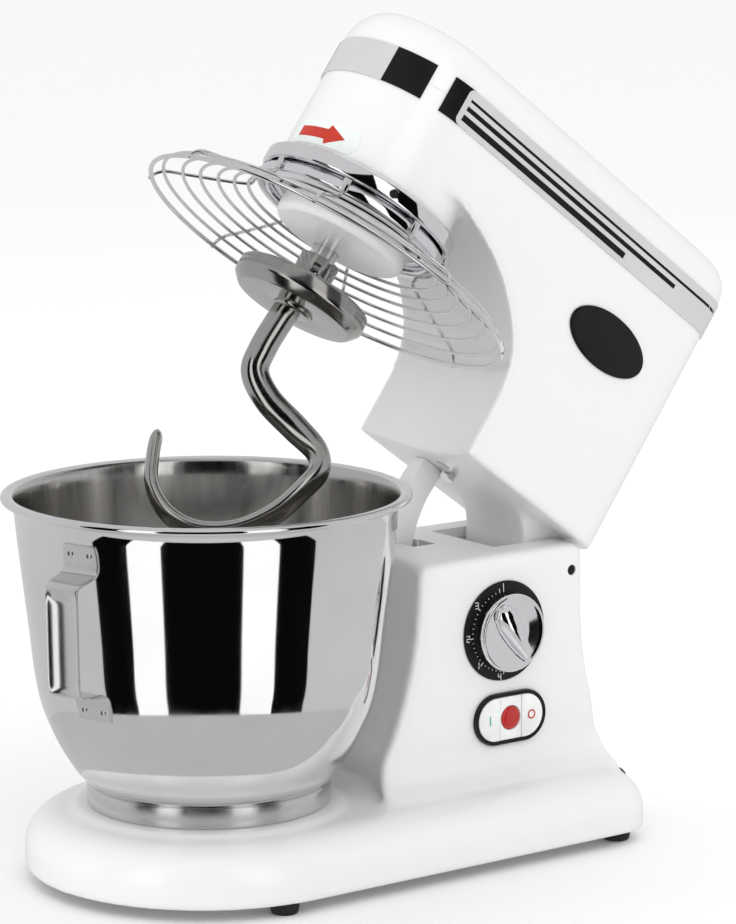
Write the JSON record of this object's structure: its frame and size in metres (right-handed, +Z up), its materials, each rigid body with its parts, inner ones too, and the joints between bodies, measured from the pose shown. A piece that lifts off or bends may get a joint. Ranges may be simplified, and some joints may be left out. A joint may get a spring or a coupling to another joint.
{
  "type": "stand mixer",
  "caption": "Free-standing commercial tilt-head planetary stand mixer with lift-off steel bowl, dough hook on a bayonet shaft, wire guard, speed dial and switch.",
  "frame": {"origin": "bottom centre of the box of the whole mixer, on the surface it stands on", "axes": "+Z up, -Y towards the nose and the bowl, +X towards the side with the speed dial and the switch"},
  "size_m": [0.2594, 0.5306, 0.5434],
  "materials": {
    "white_enamel": "glossy sprayed enamel on die-cast aluminium",
    "polished_steel": "polished stainless steel",
    "chrome": "bright chrome plating",
    "machined_steel": "machined steel",
    "cast_aluminium": "as-cast, matt",
    "silver_foil": "satin silver foil with printed black stripes",
    "black_plastic": "moulded black plastic, satin",
    "white_plastic": "moulded white plastic",
    "black_rubber": "matt black rubber",
    "red_plastic": "translucent red lens",
    "zinc_steel": "zinc plated sheet",
    "circuit_green": "solder resist"
  },
  "bodies": {
    "root": {"base_casting": "white_enamel", "bottom_cover": "zinc_steel", "foot_front_left": "black_rubber", "foot_front_right": "black_rubber", "foot_rear_left": "black_rubber", "foot_rear_right": "black_rubber", "bowl_lock_plate": "machined_steel", "hinge_pin": "machined_steel", "hinge_screw_right": "black_plastic", "hinge_screw_left": "black_plastic", "dial_plate": "black_plastic", "speed_control": "black_plastic", "switch_bezel": "black_plastic", "switch_plate": "white_plastic", "pilot_lamp": "red_plastic", "switch_block": "black_plastic", "control_board": "circuit_green", "tilt_microswitch": "black_plastic", "cable_gland": "black_plastic"},
    "head": {"head_casting": "white_enamel", "head_cover": "white_enamel", "side_band_right": "silver_foil", "side_band_left": "silver_foil", "band_tip_right": "black_plastic", "band_tip_left": "black_plastic", "nose_band": "silver_foil", "badge_right": "black_plastic", "badge_left": "black_plastic", "lock_quadrant": "white_enamel", "quadrant_bolt": "chrome", "motor_case": "cast_aluminium", "motor_bracket": "zinc_steel", "drive_belt": "black_rubber", "bearing_housing": "cast_aluminium", "lower_bearing": "machined_steel", "upper_bearing": "machined_steel", "ring_gear": "machined_steel", "head_collar": "chrome", "collar_screw_1": "black_plastic", "collar_screw_2": "black_plastic", "collar_screw_3": "black_plastic"},
    "motor_rotor": {"motor_shaft": "machined_steel", "motor_pulley": "machined_steel"},
    "carrier": {"planet_carrier": "white_enamel", "main_shaft": "machined_steel", "driven_pulley": "cast_aluminium"},
    "agitator": {"agitator_shaft": "chrome", "planet_gear": "machined_steel", "drive_pin": "chrome"},
    "hook": {"dough_hook": "polished_steel", "splash_shield": "polished_steel"},
    "guard": {"guard_ring": "chrome", "wire_guard": "polished_steel"},
    "bowl": {"bowl_shell": "polished_steel", "bowl_foot_ring": "polished_steel", "bowl_handle": "polished_steel"},
    "knob": {"speed_knob": "chrome"},
    "on_key": {"on_button": "white_plastic"},
    "off_key": {"off_button": "white_plastic"},
    "lock": {"lock_knob": "black_plastic"}
  },
  "joints": [
    {"name": "head_tilt", "type": "hinge", "parent": "root", "child": "head", "pos_m": [0, 0.12448, 0.1759], "axis": [-1, 0, 0], "range_deg": [-35.8, 0]},
    {"name": "carrier_spin", "type": "hinge", "parent": "head", "child": "carrier", "pos_m": [0, -0.00675, 0.42355], "axis": [0, 0.585, 0.8111], "continuous": true},
    {"name": "agitator_spin", "type": "hinge", "parent": "carrier", "child": "agitator", "pos_m": [-0.02548, -0.00225, 0.40798], "axis": [0, 0.585, 0.8111], "continuous": true},
    {"name": "rotor_spin", "type": "hinge", "parent": "head", "child": "motor_rotor", "pos_m": [0, 0.17561, 0.34134], "axis": [0, 0.585, 0.8111], "continuous": true},
    {"name": "hook_slide", "type": "slide", "parent": "agitator", "child": "hook", "axis": [0, 0.585, 0.8111], "range_m": [0, 0.006]},
    {"name": "guard_turn", "type": "hinge", "parent": "head", "child": "guard", "pos_m": [0, -0.0167, 0.40976], "axis": [0, 0.585, 0.8111], "range_deg": [0, 30]},
    {"name": "bowl_lift", "type": "slide", "parent": "root", "child": "bowl", "axis": [0, 0, 1], "range_m": [0, 0.045]},
    {"name": "speed_turn", "type": "hinge", "parent": "root", "child": "knob", "pos_m": [0.062, 0.06648, 0.1428], "axis": [1, 0, 0], "range_deg": [-135, 135]},
    {"name": "on_press", "type": "slide", "parent": "root", "child": "on_key", "axis": [-1, 0, 0], "range_m": [0, 0.0025], "stiffness_N_per_m": 400, "springref_m": -0.002},
    {"name": "off_press", "type": "slide", "parent": "root", "child": "off_key", "axis": [-1, 0, 0], "range_m": [0, 0.0025], "stiffness_N_per_m": 400, "springref_m": -0.002},
    {"name": "lock_turn", "type": "hinge", "parent": "root", "child": "lock", "pos_m": [-0.065, 0.03618, 0.16], "axis": [1, 0, 0], "range_deg": [0, 90]}
  ],
  "couplings": [
    {"joint": "agitator_spin", "follows": "carrier_spin", "ratio": -3.375},
    {"joint": "rotor_spin", "follows": "carrier_spin", "ratio": 3.5714}
  ]
}
